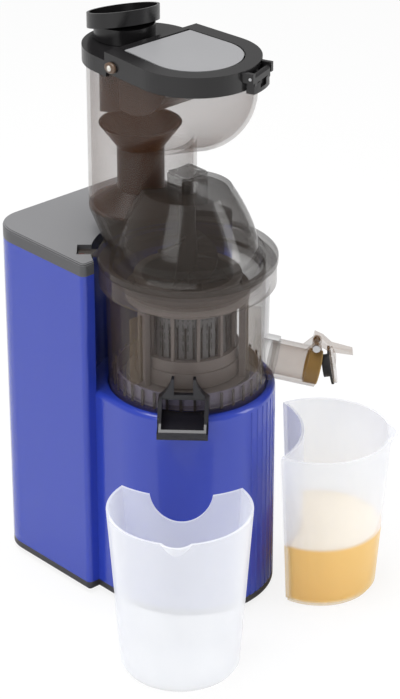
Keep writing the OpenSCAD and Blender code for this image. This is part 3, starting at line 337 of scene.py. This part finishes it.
# %% Finishes on the solids
PARTS = {
    BLUE: ["housing"], COVER: ["top_cover"], STRIP: ["base"],
    BLACK: ["rocker_bezel", "cord_inlet", "interlock_switch", "cooling_fan", "hopper_frame", "latch", "pusher"],
    INKY: ["pulp_outlet"], FLAP: ["hopper_flap"], SHADED_GATE: ["feed_gate"],
    LINER: ["strainer_frame", "wiper_frame"], AUGER: ["auger"],
    NATURAL: ["idler_gear", "pinion_front", "pinion_rear", "flap_pin"], RED: ["power_rocker", "interlock_button"],
    GREEN: ["control_board"], SMOKE: ["bowl"], DOME: ["lid"], HOPPER: ["feed_hopper"], SHADED_CHUTE: ["inner_chute"],
    SPOUT: ["juice_spout", "spout_lever"], CUP: ["pulp_container"], JUG: ["juice_jug"],
    AMBER: ["spout_lining"], BLADE: ["wiper_blades"],
    RUBBER: ["rubber_feet", "shaft_seal", "bowl_plug", "lever_seal", "lid_seal"],
    STEEL: ["case_screws", "capacitor", "motor_rotor", "idler_pin", "output_shaft", "auger_core", "lever_screw",
            "latch_pin"],
    SHEET: ["strainer_sheet"], CAST: ["motor_can", "motor_frame", "gearbox_case", "gearbox_cover"],
}
for finish, names in PARTS.items():
    for name in names:
        mesh = solids[name].data
        mesh.materials.clear()
        mesh.materials.append(finish)
left_plain = sorted(set(solids) - {name for names in PARTS.values() for name in names})
print("finishes:", len(PARTS), "solids left plain:", left_plain)

# %% [markdown]
# **Making a piece.** Each added piece is a mesh whose points already stand at their place, so its object stays at
# the origin, like the frame's own. The helper below turns points and faces into such an object, mends doubled
# points, turns the faces outwards, and lets the piece ride on the body that carries it.

# %% A helper that makes a riding piece
def piece(name, points, faces, finish, body, smooth=True):
    mesh = bpy.data.meshes.new(name)
    mesh.from_pydata([tuple(p) for p in points], [], faces)
    work = bmesh.new()
    work.from_mesh(mesh)
    bmesh.ops.remove_doubles(work, verts=work.verts, dist=1e-6)
    bmesh.ops.recalc_face_normals(work, faces=work.faces)
    work.to_mesh(mesh)
    work.free()
    if smooth:
        mesh.shade_smooth()
    mesh.materials.append(finish)
    made = bpy.data.objects.new(name, mesh)
    bpy.context.scene.collection.objects.link(made)
    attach(made, body)
    return made


def turns(count):
    """The angles of a circle cut into equal steps."""
    return [2 * math.pi * i / count for i in range(count)]


def walls(rings, count, closed=False):
    """Four-sided faces between rings of points; the last ring joins the first if the shape is closed."""
    faces = []
    for k in range(rings if closed else rings - 1):
        low, high = k * count, (k + 1) % rings * count
        for i in range(count):
            j = (i + 1) % count
            faces.append((low + i, low + j, high + j, high + i))
    return faces


# %% [markdown]
# **Juice in the jug.** The jug is a cone with a round hollow taken out of its back. The juice fills that shape up
# to its level, so its outline at any height is the cone's circle, cut by the hollow's circle. It is worked out
# ring by ring with a little room to the wall, and the topmost ring climbs the wall as a liquid does.

# %% The outline of a cup's inside
CUP_FOOT, CUP_RIM, CUP_TALL = 43.5, 53.0, 130.0
CUP_BACK, HOLLOW = 30.0, 72.0
HOLLOW_CENTRE = math.sqrt(HOLLOW ** 2 - (CUP_RIM ** 2 - CUP_BACK ** 2))
CUP_STEPS = 72


def cup_ring(z, room):
    """Outline of the inside of a cup at one height, in the cup's own plane, with some room to its wall."""
    radius = CUP_FOOT + (CUP_RIM - CUP_FOOT) * z / CUP_TALL - room
    keep_off = HOLLOW + room
    away = CUP_BACK + HOLLOW_CENTRE
    ring = []
    for a in turns(CUP_STEPS):
        dx, dy = math.cos(a), math.sin(a)
        reach = radius
        along = away * dx
        inside = along * along - (away * away - keep_off ** 2)
        if dx < 0 and inside > 0:
            hit = -along - math.sqrt(inside)
            if hit > 0:
                reach = min(reach, hit)
        ring.append((CUP_BACK + reach * dx, reach * dy))
    return ring


# %% [markdown]
# The levels of the juice are pairs: a height, and the room to the wall there. The last ones turn inwards, which makes
# the raised edge of the liquid, and two hub points close the shape below and above. The jug stands aside of the
# drum, so its own plane is turned and moved out to its place.

# %% The juice
JUG_OUT = 71.0
JUG_TURN = Matrix.Rotation(math.radians(-45), 3, "Z")
JUICE_FOOT, JUICE_TOP = 3.6, 50.4
LEVELS = [(JUICE_FOOT, 2.6), (4.2, 2.3), (20, 2.3), (36, 2.3), (50, 2.3), (JUICE_LEVEL, 2.3), (51.2, 3.2),
          (50.6, 5.5), (JUICE_TOP, 12.0)]


def jug_place(x, y, z):
    return at(*(JUG_TURN @ Vector((JUG_OUT + x, y, z))))


points = [jug_place(x, y, z) for z, room in LEVELS for x, y in cup_ring(z, room)]
points += [jug_place(CUP_BACK + 4, 0, JUICE_FOOT), jug_place(CUP_BACK + 4, 0, JUICE_TOP)]
low_hub, top_hub = len(points) - 2, len(points) - 1
last = (len(LEVELS) - 1) * CUP_STEPS
faces = walls(len(LEVELS), CUP_STEPS)
for i in range(CUP_STEPS):
    j = (i + 1) % CUP_STEPS
    faces += [(j, i, low_hub), (last + i, last + j, top_hub)]
piece("juice", points, faces, JUICE, "juice_jug")
print("juice rings:", len(LEVELS), "points:", len(points))

# %% [markdown]
# **Details that repeat.** The foot of the bowl has a ring of upright ribs with a pale band behind them, and the
# strainer shows rows of small holes through its sheet. A node tree repeats one shape round a circle: the points of a
# mesh circle carry instances, each turned to face outwards, and the whole is lifted to its height. The result is
# made real and kept as a plain mesh, so that it can ride on a body like any other piece.

# %% A node tree that repeats a shape round a circle
def round_tree(name):
    tree = bpy.data.node_groups.new(name, "GeometryNodeTree")
    face = tree.interface
    for label, kind in (("Shape", "Geometry"), ("Count", "Int"), ("Radius", "Float"), ("Centre", "Vector"),
                        ("Material", "Material")):
        face.new_socket(label, in_out="INPUT", socket_type="NodeSocket" + kind)
    face.new_socket("Result", in_out="OUTPUT", socket_type="NodeSocketGeometry")
    nodes, link = tree.nodes, tree.links.new
    given, result = nodes.new("NodeGroupInput"), nodes.new("NodeGroupOutput")
    ring, spread = nodes.new("GeometryNodeMeshCircle"), nodes.new("GeometryNodeInstanceOnPoints")
    place, turn = nodes.new("GeometryNodeInputPosition"), nodes.new("FunctionNodeAlignRotationToVector")
    turn.axis, turn.pivot_axis = "X", "Z"
    lift, real = nodes.new("GeometryNodeTransform"), nodes.new("GeometryNodeRealizeInstances")
    paint = nodes.new("GeometryNodeSetMaterial")
    link(given.outputs["Count"], ring.inputs["Vertices"])
    link(given.outputs["Radius"], ring.inputs["Radius"])
    link(ring.outputs["Mesh"], spread.inputs["Points"])
    link(given.outputs["Shape"], spread.inputs["Instance"])
    link(place.outputs["Position"], turn.inputs["Vector"])
    link(turn.outputs["Rotation"], spread.inputs["Rotation"])
    link(spread.outputs["Instances"], lift.inputs["Geometry"])
    link(given.outputs["Centre"], lift.inputs["Translation"])
    link(lift.outputs["Geometry"], real.inputs["Geometry"])
    link(real.outputs["Geometry"], paint.inputs["Geometry"])
    link(given.outputs["Material"], paint.inputs["Material"])
    link(paint.outputs["Geometry"], result.inputs["Result"])
    return tree


ROUND = round_tree("repeat_round")
print("node tree:", len(ROUND.nodes), "nodes")


# %% [markdown]
# The tree needs an object to run on. A throwaway object holds one copy of the shape and gives the tree its inputs,
# which are set by the socket's identifier before anything is evaluated. What comes out is copied into a plain mesh,
# and the throwaway object is deleted.

# %% A shape repeated round a circle, as one plain mesh
def block(sx, sy, sz):
    """A box about the origin, sizes in millimetres, as points and faces."""
    corners = ((-1, -1), (1, -1), (1, 1), (-1, 1))
    points = [Vector((x * sx, y * sy, z * sz)) * MM / 2 for z in (-1, 1) for x, y in corners]
    return points, [(3, 2, 1, 0), (4, 5, 6, 7), (0, 1, 5, 4), (1, 2, 6, 5), (2, 3, 7, 6), (3, 0, 4, 7)]


def round_piece(name, shape, count, radius, centre, finish, body):
    """Repeats a shape round a circle and keeps the result as one plain mesh."""
    seed = bpy.data.meshes.new(name + "_seed")
    seed.from_pydata([tuple(p) for p in shape[0]], [], shape[1])
    seed.materials.append(finish)
    maker = bpy.data.objects.new(name + "_maker", seed)
    bpy.context.scene.collection.objects.link(maker)
    spread = maker.modifiers.new("round", "NODES")
    spread.node_group = ROUND
    given = {"Count": count, "Radius": radius * MM, "Centre": centre, "Material": finish}
    for socket in ROUND.interface.items_tree:
        if socket.item_type == "SOCKET" and socket.in_out == "INPUT" and socket.name in given:
            spread[socket.identifier] = given[socket.name]
    ready = maker.evaluated_get(bpy.context.evaluated_depsgraph_get())
    mesh = bpy.data.meshes.new_from_object(ready)
    points, faces = [v.co.copy() for v in mesh.vertices], [tuple(p.vertices) for p in mesh.polygons]
    bpy.data.meshes.remove(mesh)
    bpy.data.objects.remove(maker)
    bpy.data.meshes.remove(seed)
    return piece(name, points, faces, finish, body, smooth=False)


# %% [markdown]
# **The foot of the bowl.** Upright ribs stiffen the foot of the bowl. They show through the smoke tint as dark lines
# in front of a pale band, so both are pieces of their own, a little inside the wall. The ribs repeat one block; the
# band is a plain ring.

# %% Ribs and a pale band in the foot of the bowl
PALE = silicone("pale_band", lin(128, 122, 142), 0.4)
RIB = moulded("bowl_rib", lin(52, 48, 50), lin(64, 60, 61), 0.3)
HOLE = moulded("sheet_hole", lin(26, 25, 25), lin(34, 33, 33), 0.5)
RIB_COUNT, RIB_RADIUS, RIB_MIDDLE, RIB_SIZE = 34, 55.2, 179, (1.0, 2.0, 13)
BAND_LOW, BAND_HIGH, BAND_INNER, BAND_OUTER = 172.5, 185.5, 52.4, 53.2
ribs = round_piece("bowl_ribs", block(*RIB_SIZE), RIB_COUNT, RIB_RADIUS, at(0, 0, RIB_MIDDLE), RIB, "bowl")


def band(name, low, high, inner, outer, finish, body, count=96):
    """A plain ring with square edges about the auger's axis."""
    corners = ((low, inner), (low, outer), (high, outer), (high, inner))
    points = [at(radius * math.cos(a), radius * math.sin(a), z) for z, radius in corners for a in turns(count)]
    return piece(name, points, walls(len(corners), count, closed=True), finish, body, smooth=False)


pale = band("bowl_pale_band", BAND_LOW, BAND_HIGH, BAND_INNER, BAND_OUTER, PALE, "bowl")
print("ribs:", len(ribs.data.polygons), "faces; band:", len(pale.data.polygons), "faces")

# %% [markdown]
# **The strainer sheet.** The sheet lets the juice out through rows of narrow upright holes. At this size they show
# as dark marks, so each is a thin dark tile that lies on the steel, and one call makes a whole row.

# %% Small holes in the strainer sheet
HOLE_SIZE, HOLES_ROUND, HOLE_RADIUS = (0.12, 0.9, 5.2), 60, 34.12
LOW_HOLE, HOLE_PITCH, HOLE_ROWS = 214.0, 8, 5
for row in range(HOLE_ROWS):
    round_piece("strainer_holes_%d" % row, block(*HOLE_SIZE), HOLES_ROUND, HOLE_RADIUS,
                at(0, 0, LOW_HOLE + row * HOLE_PITCH), HOLE, "bowl")
print("hole rows:", HOLE_ROWS)

# %% [markdown]
# **Hinge pin.** The white pin of the flap ends in an oval seat on either side of the hopper's frame, and its round
# head stands out of that seat. Seat and head are short stacks of outlines, closed at both ends, and the last
# outline is drawn in a little, which gives the edge a soft chamfer.

# %% Seats and heads of the hinge pin
def stack(name, centre, across, upward, outline, finish, body, count=32):
    """A closed stack of ovals: each row gives the way outwards and the two half widths, in millimetres."""
    outward = across.cross(upward)
    points = [centre + (outward * out + across * wide_half * math.cos(a) + upward * tall_half * math.sin(a)) * MM
              for out, wide_half, tall_half in outline for a in turns(count)]
    faces = walls(len(outline), count)
    faces += [tuple(range(count))[::-1], tuple(range((len(outline) - 1) * count, len(outline) * count))]
    return piece(name, points, faces, finish, body)


PIN_SEAT = moulded("pin_seat", lin(92, 74, 60), lin(104, 84, 68), 0.3, grain=0.04)
PIN_OUT, PIN_FORWARD, PIN_HEIGHT = 45.6, 30, 421.5
SEAT_OUTLINE = [(-1.2, 5.6, 3.9), (0.9, 5.6, 3.9), (1.3, 5.1, 3.4)]
HEAD_OUTLINE = [(0.6, 2.1, 2.1), (1.7, 2.1, 2.1), (2.0, 1.7, 1.7)]
for side, hand in ((-1, "left"), (1, "right")):
    across, upward = Vector((0, side, 0)), Vector((0, 0, 1))
    seat = at(side * PIN_OUT, PIN_FORWARD, PIN_HEIGHT)
    stack("pin_seat_" + hand, seat, across, upward, SEAT_OUTLINE, PIN_SEAT, "lid")
    stack("pin_head_" + hand, seat, across, upward, HEAD_OUTLINE, NATURAL, "lid")
print("pin seats: 2")

# %% [markdown]
# **A camera at the worktop.** The lens and the place were worked out from the straight edges and round rims in the
# photograph. A long lens far away keeps the upright edges nearly parallel.

# %% Camera
AZIMUTH, ELEVATION = math.radians(-42.465), math.radians(26.727)
PICTURE_TALL, FOCAL_PIXELS, SENSOR = 699, 2600, 36
DISTANCE = 1.933117
AIM_HEIGHT, AIM_RIGHT, AIM_DOWN = 200, 9.012, 3.63
forward = Vector((-math.sin(AZIMUTH) * math.cos(ELEVATION), math.cos(AZIMUTH) * math.cos(ELEVATION),
                  -math.sin(ELEVATION)))
right = Vector((math.cos(AZIMUTH), math.sin(AZIMUTH), 0))
up = right.cross(forward)
aim = at(0, 0, AIM_HEIGHT) + (AIM_RIGHT * right - AIM_DOWN * up) * MM
lens = bpy.data.cameras.new("camera")
lens.sensor_width = SENSOR
lens.lens = FOCAL_PIXELS / PICTURE_TALL * SENSOR
lens.clip_start, lens.clip_end = 0.05, 20
camera = bpy.data.objects.new("camera", lens)
camera.location = aim - forward * DISTANCE
camera.rotation_euler = Matrix((right, up, -forward)).transposed().to_euler()
bpy.context.scene.collection.objects.link(camera)
bpy.context.scene.camera = camera
print("lens", round(lens.lens, 1), "mm")

# %% [markdown]
# **The floor.** The floor is a wide white sheet. The camera sees it as nearly pure white, because most of what it
# sees there is a plain glow. The rest is the real surface, so the machine's soft shadow is left on it.

# %% Floor
FLOOR_HALF = 3.0
GLOW_SHARE = 0.82


def floor_finish():
    f = new_finish("studio_floor")
    camera_ray = f.node("ShaderNodeLightPath", out="Is Camera Ray")
    sheet = f.node("ShaderNodeBsdfDiffuse", {}, {"Color": tone((0.86, 0.86, 0.86))})
    glow = f.node("ShaderNodeEmission", {}, {"Color": tone((1, 1, 1)), "Strength": 1.03})
    return f.close(f.node("ShaderNodeMixShader", {}, {0: camera_ray * GLOW_SHARE, 1: sheet, 2: glow}))


floor_mesh = bpy.data.meshes.new("floor")
floor_mesh.from_pydata([(x * FLOOR_HALF, y * FLOOR_HALF, 0) for x, y in ((-1, -1), (1, -1), (1, 1), (-1, 1))], [],
                       [(0, 1, 2, 3)])
floor_mesh.materials.append(floor_finish())
floor = bpy.data.objects.new("floor", floor_mesh)
bpy.context.scene.collection.objects.link(floor)
print("floor:", 2 * FLOOR_HALF, "m wide")

# %% [markdown]
# **World and lamps.** The world is a pale dome that lights from all round, and pure white where the camera looks at
# it. Three large lamps add the soft streaks on the gloss: one high on the left, one lower on the right, and one
# overhead.

# %% World and lamps
DOME_LIGHT = 0.52
studio = Finish(bpy.data.worlds.new("studio"), "ShaderNodeOutputWorld")
camera_ray = studio.node("ShaderNodeLightPath", out="Is Camera Ray")
through_ray = studio.node("ShaderNodeLightPath", out="Is Transmission Ray")
dome = studio.node("ShaderNodeBackground", {}, {"Strength": DOME_LIGHT})
seen = studio.node("ShaderNodeBackground", {}, {"Color": tone((1, 1, 1)), "Strength": 1.0})
shown = camera_ray.maths("MAXIMUM", camera_ray, through_ray)
bpy.context.scene.world = studio.close(studio.node("ShaderNodeMixShader", {}, {0: shown, 1: dome, 2: seen}))


def lamp(name, place, size, power, look=(0, 0, 0.2)):
    """An oblong lamp, places and sizes in metres, power in watts."""
    data = bpy.data.lights.new(name, "AREA")
    data.shape, data.size, data.size_y, data.energy = "RECTANGLE", size[0], size[1], power
    made = bpy.data.objects.new(name, data)
    made.location = place
    made.rotation_euler = (Vector(look) - Vector(place)).to_track_quat("-Z", "Y").to_euler()
    bpy.context.scene.collection.objects.link(made)


lamp("left_softbox", (-1.5, -0.5, 1.2), (0.9, 1.4), 9.5)
lamp("right_softbox", (1.0, -1.3, 0.7), (0.5, 1.2), 8.5)
lamp("overhead", (-0.2, 0.3, 1.9), (1.2, 1.2), 27)
bpy.context.scene.view_settings.view_transform = "Standard"
print("lamps: 3")
